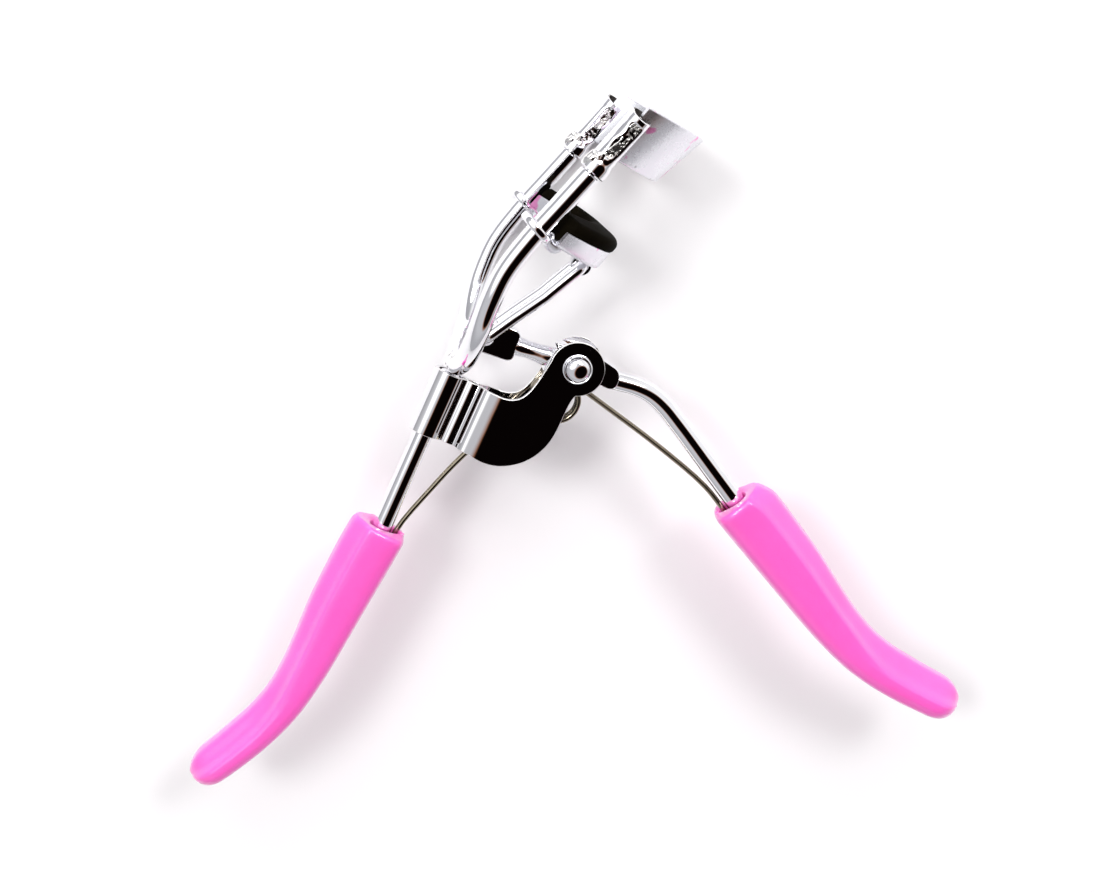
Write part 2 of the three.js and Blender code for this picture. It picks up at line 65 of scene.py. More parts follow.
# Shapes are drawn in millimetres from the pivot rivet and put in the frame as they are finished:
# +Y up the guide prongs, +X the side the jaws bulge to, +Z along the rivet, up from the table.
MM = 0.001
pivot = Vector(next(j["pos_m"] for j in frame["joints"] if j["name"] == "handle_pivot"))
PLACE = Matrix.Translation(pivot) @ Matrix.Scale(MM, 4)

ROD_RADIUS = 1.45
YOKE_WIRE_RADIUS = 0.85
SPRING_WIRE_RADIUS = 0.4

STEM_TOP = Vector((-12.6, -12.4, 0))
STEM_LEAN = math.radians(18.2)
STEM_DOWN = Vector((math.sin(STEM_LEAN), -math.cos(STEM_LEAN), 0))
STEM_ACROSS = Vector((math.cos(STEM_LEAN), math.sin(STEM_LEAN), 0))
STEM_TO_GRIP = 24.6
ROD_IN_GRIP = 13.0

PRONG_X = -18.95
PRONG_SPREAD = 15.5
SLEEVE_RADIUS = 1.65
SLEEVE_BOTTOM = 21.4
SLEEVE_TOP = 31.4
SLEEVE_WALL = 0.38
SOCKET_NECK_RADIUS = 0.95
SOLDER_STEPS = 20

ARC_RADIUS = 17.8
ARC_CENTRE_X = -27.65
JAW_RISE = 0.2
PLATE_THICKNESS = 0.55
PLATE_BOTTOM = 24.4
PLATE_HEIGHT = 8.1
PLATE_LEAN = 0.13
PLATE_HALF_ANGLE = 59.5

JAW_GAP = 9.2
CHANNEL_HALF_WIDTH = 2.35
CHANNEL_WALL = 0.5
CHANNEL_TOP = 13.45
CHANNEL_BOTTOM = 11.2
CHANNEL_HALF_ANGLE = 54.0
PAD_HALF_ANGLE = 52.6
EYELET_Y = 11.45
EYELET_RADIUS = 2.55
KNUCKLE = Vector((-9.3, 11.0, 0))
KNUCKLE_RADIUS = 1.5

SHEET_THICKNESS = 0.6
EDGE_ROUNDING = 0.26
CHEEK_MIDDLE_Z = 2.4
BRACKET_LENGTH = 9.5
BARREL_RADIUS = 2.02
BOSS_RADIUS = 3.85
RIVET_RADIUS = 0.9

LEVER_PIN = Vector((-12.5, -5.3, 0))
YOKE_SPREAD = 2.6
BLOCK_HOLE_RADIUS = 1.25
BLOCK_HALF_THICKNESS = 1.4
HUB_HOLE_RADIUS = 0.95
HUB_HALF_THICKNESS = 1.6
LEVER_FACE = Vector((30.7, 0.7, 0))
LEVER_DROOP = math.radians(11.3)
LEVER_OUT = Vector((math.cos(LEVER_DROOP), -math.sin(LEVER_DROOP), 0))
LEVER_UP = Vector((math.sin(LEVER_DROOP), math.cos(LEVER_DROOP), 0))

COIL_CENTRE = (1.1, -5.4)
COIL_RADIUS = 3.1
COIL_TURNS = 3
COIL_HALF_HEIGHT = 1.25
SPRING_OFFSET = 2.07
SPRING_IN_GRIP = 7.0

FIXED_GRIP_SPLAY = math.radians(5.4)
MOVING_GRIP_SPLAY = math.radians(2.5)
GRIP_MOUTH = 1.1
TAIL_START = 43.3
TAIL_END = 47.2

CAMERA_SPOT = Vector((-48.43, 23.28, 234.0))
CAMERA_TARGET = Vector((4.84, -11.37, 0))
CAMERA_UP = Vector((-0.6411, 0.7245, -0.2532))
CAMERA_LENS = 55.94
LAMP_REACH = 1.2

SHARP = math.radians(38)


# ---- mesh helpers ------------------------------------------------------------------------

def quarter_turn(steps, first=0):
    """Angles from nothing to a right angle, in even steps."""
    return [math.pi / 2 * i / steps for i in range(first, steps + 1)]


def full_turn(sides):
    """Angles once round, in even steps."""
    return [2 * math.pi * i / sides for i in range(sides)]


def smoothstep(low, high, x):
    """0 below the low value, 1 above the high one, eased between them."""
    t = min(1, max(0, (x - low) / (high - low)))
    return t * t * (3 - 2 * t)


def finish_piece(bm, name, body, finish, replaces=(), weighted=False):
    """Turn a shape drawn in millimetres from the pivot into a piece that rides on a body."""
    bmesh.ops.remove_doubles(bm, verts=bm.verts, dist=1e-4)
    bmesh.ops.recalc_face_normals(bm, faces=bm.faces)
    bmesh.ops.transform(bm, matrix=PLACE, verts=bm.verts)
    for face in bm.faces:
        face.smooth = True
    for edge in bm.edges:
        edge.smooth = not (edge.is_manifold and edge.calc_face_angle() > SHARP)
    mesh = bpy.data.meshes.new(name)
    bm.to_mesh(mesh)
    bm.free()
    mesh.materials.append(finish)
    piece = bpy.data.objects.new(name, mesh)
    bpy.context.scene.collection.objects.link(piece)
    if weighted:
        piece.modifiers.new("even_shading", "WEIGHTED_NORMAL").keep_sharp = True
    if body:
        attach(piece, body)
    if replaces:
        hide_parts(*replaces)
    return piece


def loft(bm, rings, closed=False):
    """Skin a row of rings: a circle moved onto the first, then pulled out to each next one."""
    verts = bmesh.ops.create_circle(bm, segments=len(rings[0]), radius=1.0)["verts"]
    for vert, point in zip(verts, rings[0]):
        vert.co = point
    first = edges = list({edge for vert in verts for edge in vert.link_edges})
    for ring in rings[1:]:
        made = bmesh.ops.extrude_edge_only(bm, edges=edges)["geom"]
        fresh = {item for item in made if isinstance(item, bmesh.types.BMVert)}
        verts = [next(v for v in (e.other_vert(old) for e in old.link_edges) if v in fresh)
                 for old in verts]
        for vert, point in zip(verts, ring):
            vert.co = point
        edges = [item for item in made if isinstance(item, bmesh.types.BMEdge)
                 and item.verts[0] in fresh and item.verts[1] in fresh]
    if closed:
        bmesh.ops.remove_doubles(bm, verts=bm.verts, dist=1e-4)
    else:
        bmesh.ops.edgeloop_fill(bm, edges=first)
        bmesh.ops.edgeloop_fill(bm, edges=edges)


def rounded_ends(path, radii, size, steps=5):
    """Extra stations that round off both ends of a bar."""
    quarter = [math.pi / 2 * (1 - i / steps) for i in range(steps + 1)]
    start = (path[1] - path[0]).normalized()
    end = (path[-2] - path[-1]).normalized()

    def rounded(point, inward, radius):
        return [(point + inward * size * (1 - math.sin(a)), radius - size * (1 - math.cos(a)))
                for a in quarter]

    head = rounded(path[0], start, radii[0])
    tail = rounded(path[-1], end, radii[-1])
    stations = head + list(zip(path[1:-1], radii[1:-1])) + tail[::-1]
    return [p for p, r in stations], [r for p, r in stations]


def along_path(path):
    """A turned frame at each point of a path, with no twist between neighbours."""
    side = (path[1] - path[0]).orthogonal().normalized()
    placed = []
    for i, point in enumerate(path):
        ahead = (path[min(i + 1, len(path) - 1)] - path[max(i - 1, 0)]).normalized()
        side = (side - ahead * side.dot(ahead)).normalized()
        placed.append((point, side, ahead.cross(side)))
    return placed


def bar(bm, path, radius, sides=24, round_off=0.0):
    """A round bar along a path. The radius is one number or one for each point."""
    radii = list(radius) if hasattr(radius, "__len__") else [radius] * len(path)
    if round_off:
        path, radii = rounded_ends(path, radii, round_off)
    turns = full_turn(sides)
    rings = [[point + (side * math.cos(a) + up * math.sin(a)) * r for a in turns]
             for (point, side, up), r in zip(along_path(path), radii)]
    loft(bm, rings)


def smooth_line(points, per_span=10):
    """A centripetal spline through the points."""
    padded = [points[0] * 2 - points[1], *points, points[-1] * 2 - points[-2]]
    line = []
    for a, b, c, d in zip(padded, padded[1:], padded[2:], padded[3:]):
        t1 = (b - a).length ** 0.5
        t2 = t1 + (c - b).length ** 0.5
        t3 = t2 + (d - c).length ** 0.5
        for i in range(per_span):
            t = t1 + (t2 - t1) * i / per_span
            ab = a + (b - a) * (t / t1)
            bc = b + (c - b) * ((t - t1) / (t2 - t1))
            cd = c + (d - c) * ((t - t2) / (t3 - t2))
            near = ab + (bc - ab) * (t / t2)
            far = bc + (cd - bc) * ((t - t1) / (t3 - t1))
            line.append(near + (far - near) * ((t - t1) / (t2 - t1)))
    line.append(points[-1])
    return line


def eased_corners(points, bend, steps=8):
    """A line through the points with each inner corner eased to a bend."""
    line = [points[0]]
    for before, corner, after in zip(points, points[1:], points[2:]):
        back = (before - corner).normalized()
        on = (after - corner).normalized()
        reach = bend / math.tan(back.angle(on) / 2)
        start, end = corner + back * reach, corner + on * reach
        for i in range(steps + 1):
            t = i / steps
            line.append(start.lerp(corner, t).lerp(corner.lerp(end, t), t))
    line.append(points[-1])
    return line


def evenly(path, step):
    """The same line with its long straights cut into steps."""
    line = [path[0]]
    for a, b in zip(path, path[1:]):
        cuts = max(1, round((b - a).length / step))
        line += [a.lerp(b, i / cuts) for i in range(1, cuts + 1)]
    return line


def turned(bm, profile, centre, axis, closed=False, steps=40):
    """Turn a profile of (radius, height) pairs round an axis."""
    axis = Vector(axis).normalized()
    side = axis.orthogonal().normalized()
    verts = [bm.verts.new(centre + side * r + axis * h) for r, h in profile]
    pairs = list(zip(verts, verts[1:])) + ([(verts[-1], verts[0])] if closed else [])
    edges = [bm.edges.new(pair) for pair in pairs]
    bmesh.ops.spin(bm, geom=verts + edges, cent=centre, axis=axis, angle=2 * math.pi,
                   steps=steps, use_merge=True)


def traced(start, *moves, steps=10):
    """An outline from straight moves (one point) and curved moves (two handles and a point)."""
    line = [Vector((*start, 0))]
    for move in moves:
        if len(move) == 3:
            handles = [Vector((*p, 0)) for p in move]
            line += interpolate_bezier(line[-1], *handles, steps + 1)[1:]
        else:
            line.append(Vector((*move, 0)))
    return line


def slab_with_hole(bm, outline, centre, hole, half, round_off, steps=4):
    """A flat slab whose outline is seen whole from its hole, with its outer edges rounded."""
    outward = [(p - centre).normalized() for p in outline]
    up = Vector((0, 0, 1))

    def ring(inset, z):
        return [p - d * inset + up * z for p, d in zip(outline, outward)]

    def rim(radius, z):
        return [centre + d * radius + up * z for d in outward]

    bends = quarter_turn(steps)
    top = [ring(round_off * (1 - math.sin(a)), half - round_off * (1 - math.cos(a))) for a in bends]
    bottom = [ring(round_off * (1 - math.sin(a)), round_off * (1 - math.cos(a)) - half) for a in bends]
    rings = [rim(hole, half), *top, *bottom[::-1], rim(hole, -half), rim(hole, half)]
    loft(bm, rings, closed=True)


# ---- material helpers --------------------------------------------------------------------

class Value:
    """A number or colour made by nodes. Arithmetic on it adds Math nodes."""

    def __init__(self, nodes, socket):
        self.nodes = nodes
        self.socket = socket

    def _math(self, operation, *values):
        return self.nodes.node("ShaderNodeMath", {"operation": operation}, *values)

    def __add__(self, other):
        return self._math("ADD", self, other)

    def __rsub__(self, other):
        return self._math("SUBTRACT", other, self)

    def __mul__(self, other):
        return self._math("MULTIPLY", self, other)

    __radd__ = __add__

    def between(self, low, high):
        """0 up to the low level, 1 from the high level, eased between them."""
        return self.nodes.node("ShaderNodeMapRange", {"interpolation_type": "SMOOTHSTEP"}, self, low, high)


class Nodes:
    """A node tree that is written as expressions."""

    def __init__(self, tree):
        self.tree = tree

    def node(self, kind, settings, *values, output=0, **sockets):
        """Add a node: settings first, then its sockets in order or by name; returns one output."""
        made = self.tree.nodes.new(kind)
        for key, value in settings.items():
            setattr(made, key, value)
        for index, value in [*enumerate(values), *sockets.items()]:
            self.feed(made.inputs[index], value)
        return Value(self, made.outputs[output])

    def feed(self, socket, value):
        """Link a value made by nodes, or set a plain number or colour."""
        if isinstance(value, Value):
            self.tree.links.new(value.socket, socket)
        elif socket.type == "RGBA" and len(value) == 3:
            socket.default_value = (*value, 1)
        else:
            socket.default_value = value

    def mix(self, factor, first, second):
        """The first colour where the factor is 0, the second where it is 1."""
        made = self.tree.nodes.new("ShaderNodeMix")
        made.data_type = "RGBA"
        for index, value in ((0, factor), (6, first), (7, second)):
            self.feed(made.inputs[index], value)
        return Value(self, made.outputs[2])


class Finish(Nodes):
    """A material on one Principled shader, patterned in the frame's own space."""

    def __init__(self, name):
        self.material = bpy.data.materials.new(name)
        self.material.use_nodes = True
        super().__init__(self.material.node_tree)
        self.shader = next(n for n in self.tree.nodes if n.type == "BSDF_PRINCIPLED")
        self.place = self.node("ShaderNodeTexCoord", {}, output="Object")

    def noise(self, size, detail=2.0, roughness=0.5, distortion=0.0):
        """Soft noise with features of the given size in millimetres."""
        return self.node("ShaderNodeTexNoise", {}, Vector=self.place, Scale=1 / (size * MM),
                         Detail=detail, Roughness=roughness, Distortion=distortion)

    def specks(self, size, level, softness=0.05):
        """Sparse round specks: 1 inside a speck, 0 elsewhere."""
        cells = self.node("ShaderNodeTexVoronoi", {"feature": "F1"}, Vector=self.place,
                          Scale=1 / (size * MM))
        return 1 - cells.between(level, level + softness)

    def bump(self, height, depth_mm, strength=1.0):
        """A normal from a height, with the depth in millimetres."""
        return self.node("ShaderNodeBump", {}, Height=height, Distance=depth_mm * MM, Strength=strength)

    def set(self, **sockets):
        """Fill the shader's sockets by name and return the material."""
        for name, value in sockets.items():
            self.feed(self.shader.inputs[name.replace("_", " ")], value)
        return self.material


def chrome(name, light, dark, wobble_mm, pit_level, roughness=0.03):
    """Plated steel: bright, a little cloudy, with tiny pits and a slight wobble in what it mirrors."""
    finish = Finish(name)
    cloud = finish.noise(6.0, detail=4)
    pits = finish.specks(1.6, pit_level, 0.03)
    colour = finish.mix(cloud, light, dark)
    colour = finish.mix(pits * 0.5, colour, (0.16, 0.13, 0.12))
    smear = finish.noise(1.2, detail=5, roughness=0.65)
    ripple = finish.bump(finish.noise(2.6, detail=1), wobble_mm)
    return finish.set(Base_Color=colour, Metallic=1.0, Normal=ripple,
                      Roughness=roughness + smear * 0.04 + pits * 0.2)


def solder():
    """Frozen solder: bright and lumpy."""
    finish = Finish("solder")
    lumps = finish.noise(1.1, detail=2, distortion=0.5)
    colour = finish.mix(lumps, (0.96, 0.96, 0.95), (0.8, 0.78, 0.76))
    return finish.set(Base_Color=colour, Metallic=1.0, Roughness=0.06 + lumps * 0.1,
                      Normal=finish.bump(lumps, 0.1))


def jaw_sheet():
    """Satin-bright plated sheet of the jaws, with a few dull marks and spots of painted pink reflection."""
    finish = Finish("jaw_sheet")
    cloud = finish.noise(5.0, detail=5)
    marks = finish.specks(2.6, 0.07, 0.06)
    colour = finish.mix(cloud, (0.82, 0.82, 0.86), (0.74, 0.74, 0.79))
    pink_reflection_spots = finish.noise(4.5, detail=2, roughness=0.7).between(0.61, 0.66)
    colour = finish.mix(marks * 0.6, colour, (0.2, 0.19, 0.2))
    # painted reflection: spots of pink mixed into the sheet's colour, standing in for pink surroundings
    # mirrored in it
    colour = finish.mix(pink_reflection_spots * 0.7, colour, (0.85, 0.1, 0.5))
    grain = finish.noise(0.5, detail=4)
    return finish.set(Base_Color=colour, Metallic=1.0, Roughness=0.2 + cloud * 0.1 + grain * 0.05,
                      Normal=finish.bump(finish.noise(3.0), 0.02))


def spring_steel():
    """Drawn spring wire: warmer and darker than the plating."""
    finish = Finish("spring_wire")
    streak = finish.noise(0.8, detail=4)
    colour = finish.mix(streak, (0.42, 0.37, 0.28), (0.24, 0.21, 0.16))
    return finish.set(Base_Color=colour, Metallic=1.0, Roughness=0.05 + streak * 0.08,
                      Normal=finish.bump(streak, 0.01))


def pink_vinyl():
    """Soft moulded vinyl: semi-gloss, faintly mottled, with a grained skin."""
    finish = Finish("pink_vinyl")
    mottle = finish.noise(9.0, detail=5, roughness=0.6)
    grain = finish.noise(0.4, detail=3)
    dust = finish.specks(0.9, 0.12, 0.1)
    colour = finish.mix(mottle, (0.95, 0.1, 0.5), (0.93, 0.14, 0.6))
    skin = finish.bump(grain, 0.05, 0.7)
    return finish.set(Base_Color=colour, Roughness=0.24 + grain * 0.14 + dust * 0.1, Normal=skin,
                      Coat_Weight=0.45 + grain * 0.4, Coat_Roughness=0.1,
                      Sheen_Weight=0.6, Sheen_Roughness=0.4, Sheen_Tint=(1.0, 0.78, 1.0, 1.0),
                      Subsurface_Weight=0.2, Subsurface_Radius=(1.0, 0.45, 0.7), Subsurface_Scale=0.0012)


def black_rubber():
    """Moulded rubber: nearly black and dull, a little brown in patches."""
    finish = Finish("black_rubber")
    cloud = finish.noise(3.0, detail=5)
    colour = finish.mix(cloud, (0.001, 0.001, 0.001), (0.008, 0.006, 0.003))
    grain = finish.noise(0.4, detail=3)
    return finish.set(Base_Color=colour, Roughness=0.34 + cloud * 0.12 + grain * 0.05, IOR=1.02,
                      Normal=finish.bump(grain, 0.015, 0.5))


def painted_shade_bore():
    """Inside of the sleeves: painted shade, a dark unpolished finish standing in for the shadow in the bore.
    """
    finish = Finish("painted_shade_bore")
    cloud = finish.noise(1.5, detail=4)
    return finish.set(Base_Color=finish.mix(cloud, (0.012, 0.01, 0.01), (0.05, 0.04, 0.035)),
                      Roughness=0.5 + cloud * 0.2)


def burnt_seam():
    """The sleeves' rolled seam: bright solder in flecks over burnt metal."""
    finish = Finish("burnt_seam")
    fleck = finish.noise(1.1, detail=3, distortion=1.2).between(0.46, 0.56)
    return finish.set(Base_Color=finish.mix(fleck, (0.03, 0.02, 0.015), (0.95, 0.93, 0.9)), Metallic=1.0,
                      Roughness=0.12 + fleck * 0.1, Normal=finish.bump(fleck, 0.08))


def painted_highlight_metal():
    """Sheet edges painted brighter than the plating: a patchy painted highlight on the rounded edges."""
    finish = Finish("edge_painted_highlight")
    highlight_patchiness = finish.noise(0.9, detail=4)
    return finish.set(Base_Color=finish.mix(highlight_patchiness, (1.0, 1.0, 1.0), (0.75, 0.73, 0.7)), Metallic=1.0,
                      Roughness=0.24 + highlight_patchiness * 0.14)


bright_chrome = chrome("bright_chrome", (0.92, 0.92, 0.95), (0.84, 0.84, 0.87), 0.012, 0.03)
bracket_chrome = chrome("bracket_chrome", (0.9, 0.9, 0.92), (0.82, 0.81, 0.83), 0.008, 0.02, 0.02)
jaw_chrome = jaw_sheet()
solder_metal = solder()
spring_wire = spring_steel()
grip_vinyl = pink_vinyl()
pad_rubber = black_rubber()
# painted shade for the inside of the sleeves
bore_painted_shade = painted_shade_bore()
seam_metal = burnt_seam()
edge_painted_highlight = painted_highlight_metal()


# ---- fixed frame -------------------------------------------------------------------------

def stem():
    """The straight rod from the weld down into the fixed grip."""
    bm = bmesh.new()
    path = evenly([STEM_TOP, STEM_TOP + STEM_DOWN * (STEM_TO_GRIP + ROD_IN_GRIP)], 1.5)
    bar(bm, path, ROD_RADIUS, sides=36, round_off=0.4)
    finish_piece(bm, "stem_wire", "frame", bright_chrome, ["stem_rod"])


def prong(side, name, node):
    """One side of the fork: out of the weld, round the bend, then straight up into its sleeve."""
    crotch = STEM_TOP - STEM_DOWN * (ROD_RADIUS + 0.3)
    neck, tip = SLEEVE_BOTTOM - 0.2, SLEEVE_TOP - 3.4
    line = smooth_line([
        Vector((crotch.x, crotch.y, side * 0.3)), Vector((crotch.x, crotch.y + 0.35, side * 4.2)),
        Vector((-13.6, -8.7, side * 8.6)), Vector((-14.6, -6.0, side * 12.0)),
        Vector((-15.9, -3.0, side * 14.3)), Vector((-17.3, 0.4, side * PRONG_SPREAD * 0.985)),
        Vector((-18.5, 4.4, side * PRONG_SPREAD)), Vector((PRONG_X, 9.5, side * PRONG_SPREAD)),
        Vector((PRONG_X, 16.0, side * PRONG_SPREAD)), Vector((PRONG_X, neck, side * PRONG_SPREAD))])
    bm = bmesh.new()
    bar(bm, line, ROD_RADIUS, sides=36, round_off=0.25)
    top = [Vector((PRONG_X, y, side * PRONG_SPREAD)) for y in (neck - 0.6, neck + 1, tip)]
    bar(bm, top, SOCKET_NECK_RADIUS, sides=24, round_off=0.2)
    finish_piece(bm, name, "frame", bright_chrome, [node])


def lump(bm, centre, size, along, seed, roughness=0.12):
    """A frozen bead: a ball stretched along a line, with a few gentle lumps."""
    verts = bmesh.ops.create_icosphere(bm, subdivisions=4, radius=1.0)["verts"]
    turn = Vector((0, 1, 0)).rotation_difference(Vector(along)).to_matrix().to_4x4()
    for vert in verts:
        x, y, z = vert.co * 3
        swell = math.sin(x + seed) * math.cos(1.3 * y - seed) + math.sin(1.7 * z + 2 * seed)
        vert.co *= 1 + roughness * swell
    bmesh.ops.transform(bm, verts=verts,
                        matrix=Matrix.Translation(centre) @ turn @ Matrix.Diagonal((*size, 1)))


def crotch_weld():
    """The weld where both prongs meet the top of the stem."""
    bm = bmesh.new()
    heart = STEM_TOP - STEM_DOWN * 1.5
    lump(bm, heart + Vector((0, 0.2, 0)), (1.7, 1.2, 1.9), STEM_DOWN, 1.0, 0.08)
    lump(bm, heart + Vector((0.9, 0.9, 1.2)), (0.8, 0.7, 0.8), STEM_DOWN, 2.2)
    lump(bm, heart + Vector((-0.9, 0.4, 1.1)), (0.7, 0.7, 0.8), STEM_DOWN, 0.3)
    finish_piece(bm, "crotch_weld", "frame", solder_metal)


def bracket_section():
    """Middle line of the folded sheet, from the back of the barrel to the flat cheek, as (across, z)."""
    wrap = [Vector((BARREL_RADIUS * math.cos(a), BARREL_RADIUS * math.sin(a), 0))
            for a in map(math.radians, range(180, 30, -15))]
    fold = [(2.35, 0.62), (2.8, 0.62), (3.3, 0.86), (3.8, 0.86), (4.3, 0.7), (4.8, 0.98), (5.3, 1.58),
            (5.8, 2.04), (6.7, 2.25), (7.8, CHEEK_MIDDLE_Z), (8.5, CHEEK_MIDDLE_Z)]
    return smooth_line(wrap + [Vector((s, z, 0)) for s, z in fold], 6)


def bracket():
    """One strip folded round the stem: blank cut to its outline, creased, folded, mirrored, thickened."""
    section = bracket_section()
    lengths = [0.0]
    for a, b in zip(section, section[1:]):
        lengths.append(lengths[-1] + (b - a).length)
    flat_from = lengths[-1] - section[-1].x

    def in_blank(point):
        """A point in the plane of the handles, as (along the strip, down the stem)."""
        offset = Vector((point.x, point.y, 0)) - STEM_TOP
        return Vector((offset.dot(STEM_ACROSS) + flat_from, offset.dot(STEM_DOWN), 0))

    def folded(vert_co):
        """Where a point of the blank goes when the strip is folded."""
        u, t = vert_co.x, vert_co.y
        if u >= lengths[-1]:
            across, z = u - flat_from, section[-1].y
        else:
            i = max(1, next(k for k, length in enumerate(lengths) if length >= u))
            share = (u - lengths[i - 1]) / (lengths[i] - lengths[i - 1])
            spot = section[i - 1].lerp(section[i], share)
            across, z = spot.x, spot.y
        place = STEM_TOP + STEM_ACROSS * across + STEM_DOWN * t
        return Vector((place.x, place.y, z))

    boss_start = math.atan2(-1.5, -3.55)
    boss_sweep = math.radians(-52) - boss_start - 2 * math.pi
    boss = [Vector((BOSS_RADIUS * math.cos(a), BOSS_RADIUS * math.sin(a), 0))
            for a in [boss_start + boss_sweep * i / 48 for i in range(49)]]
    top_bend = STEM_TOP + STEM_ACROSS * 7.6 + STEM_DOWN * 0.1
    low_bend = STEM_TOP + STEM_ACROSS * 7.0 + STEM_DOWN * BRACKET_LENGTH
    upper = traced(top_bend[:2], ((-3.2, -9.4), (-2.8, -8.0), (-2.85, -6.2)),
                   ((-2.95, -4.4), (-3.3, -3.2), (-3.55, -1.5)), steps=12)
    lower = traced(boss[-1][:2], ((2.3, -3.9), (2.6, -4.8), (2.9, -5.7)),
                   ((3.4, -7.4), (4.25, -9.2), (4.2, -11.4)), ((4.15, -14.4), (2.6, -16.6), (0.9, -17.9)),
                   ((-0.5, -18.9), (-1.9, -19.2), low_bend[:2]), steps=12)
    cheek = [in_blank(p) for p in upper + boss[1:] + lower[1:]]
    outline = [Vector((0, 0, 0)), *cheek, Vector((0, BRACKET_LENGTH, 0))]

    bm = bmesh.new()
    bm.faces.new([bm.verts.new(p) for p in outline])
    for length in lengths[1:-1]:
        everything = bm.verts[:] + bm.edges[:] + bm.faces[:]
        bmesh.ops.bisect_plane(bm, geom=everything, dist=1e-5, plane_co=(length, 0, 0), plane_no=(1, 0, 0))
    for vert in bm.verts:
        vert.co = folded(vert.co)
    half = bm.verts[:] + bm.edges[:] + bm.faces[:]
    copied = bmesh.ops.duplicate(bm, geom=half)["geom"]
    for vert in (item for item in copied if isinstance(item, bmesh.types.BMVert)):
        vert.co.z = -vert.co.z
    bmesh.ops.reverse_faces(bm, faces=[item for item in copied if isinstance(item, bmesh.types.BMFace)])
    piece = finish_piece(bm, "folded_bracket", "frame", bracket_chrome, ["pivot_bracket"])
    # second finish: the painted highlight for the rounded sheet edges
    piece.data.materials.append(edge_painted_highlight)
    thick = piece.modifiers.new("sheet", "SOLIDIFY")
    thick.thickness = SHEET_THICKNESS * MM
    thick.offset = 0
    edge = piece.modifiers.new("rounded_edge_with_painted_highlight", "BEVEL")
    edge.width = EDGE_ROUNDING * MM
    edge.segments = 3
    # the bevelled edges get the painted highlight finish
    edge.material = 1
    edge.limit_method = "ANGLE"
    edge.angle_limit = math.radians(50)
    piece.modifiers.new("even_shading", "WEIGHTED_NORMAL").keep_sharp = True


def rivet():
    """Shaft with a low domed head on each side, each head with a thin pressed rim."""
    bm = bmesh.new()
    under = CHEEK_MIDDLE_Z + SHEET_THICKNESS / 2 + 0.02
    head = [(2.05, under), (2.1, under + 0.12), (2.06, under + 0.26), (1.95, under + 0.33),
            (1.84, under + 0.3), (1.76, under + 0.2), (1.7, under + 0.26)]
    dome = [(1.7 * math.cos(a), under + 0.26 + 0.85 * math.sin(a)) for a in quarter_turn(14, first=2)]
    half = [(RIVET_RADIUS, 0), (RIVET_RADIUS, under)] + head + dome
    for way in (1, -1):
        turned(bm, half, Vector((0, 0, 0)), (0, 0, way))
    finish_piece(bm, "domed_rivet", "frame", bright_chrome, ["pivot_rivet"])


# ---- jaws --------------------------------------------------------------------------------

def arc_point(angle, radius, y):
    """A point on the jaws' arc, at an angle in degrees from their middle."""
    a = math.radians(angle)
    return Vector((ARC_CENTRE_X + radius * math.cos(a), y, radius * math.sin(a)))


def rise(angle):
    """How far the jaws have climbed at this angle from their middle."""
    return JAW_RISE * ARC_RADIUS * (math.cos(math.radians(angle)) - math.cos(math.radians(PLATE_HALF_ANGLE)))


def bent_strip(bm, half_angle, steps, corners, closing=()):
    """Sections of (radius, y) pairs placed round the jaw arc; closing gives the last, smaller sections."""
    angles = [half_angle * (2 * i / steps - 1) for i in range(steps + 1)]
    rings = [[arc_point(a, r, y) for r, y in corners(a, 1.0)] for a in angles]
    for extra, size in closing:
        reach = half_angle + extra
        rings = [[arc_point(-reach, r, y) for r, y in corners(-reach, size)], *rings,
                 [arc_point(reach, r, y) for r, y in corners(reach, size)]]
    loft(bm, rings)


def plate_section(angle, _size):
    """The upper plate's section: a tall thin strip with rounded edges, leaning out at its middle."""
    climb = rise(angle)
    low = PLATE_BOTTOM + climb
    high = low + PLATE_HEIGHT + 0.25 * climb
    lean = PLATE_LEAN * min(1, max(0, climb) / rise(0))
    half = PLATE_THICKNESS / 2

    def at(offset, y):
        return (ARC_RADIUS + offset + lean * (y - low), y)

    around = [(math.cos(a) * half, math.sin(a) * half) for a in [math.pi * i / 8 for i in range(9)]]
    heights = [low + half + (high - low - 2 * half) * i / 8 for i in range(9)]
    return ([at(half, y) for y in heights] + [at(x, high - half + dy) for x, dy in around[1:-1]]
            + [at(-half, y) for y in heights[::-1]] + [at(-x, low + half - dy) for x, dy in around[1:-1]])


def upper_plate():
    """The curved plate between the sleeves."""
    bm = bmesh.new()
    bent_strip(bm, PLATE_HALF_ANGLE + 1.5, 72, plate_section)
    finish_piece(bm, "curved_plate", "frame", jaw_chrome, ["upper_jaw_plate"])


def sleeves():
    """Both sleeves: bright outside, painted shade in the bore, burnt along the seam."""
    bm = bmesh.new()
    for side in (1, -1):
        sleeve(bm, side)
    piece = finish_piece(bm, "rolled_sleeves", "frame", bright_chrome)
    piece.data.materials.append(bore_painted_shade)
    piece.data.materials.append(seam_metal)
    for face in piece.data.polygons:
        axis = PLACE @ Vector((PRONG_X, 0, math.copysign(PRONG_SPREAD, face.center.z - pivot.z)))
        reach = math.hypot(face.center.x - axis.x, face.center.z - axis.z)
        # faces deep in the bore get the painted shade
        if reach < (SLEEVE_RADIUS - 0.33) * MM:
            face.material_index = 1
        elif reach < (SLEEVE_RADIUS - 0.14) * MM:
            face.material_index = 2


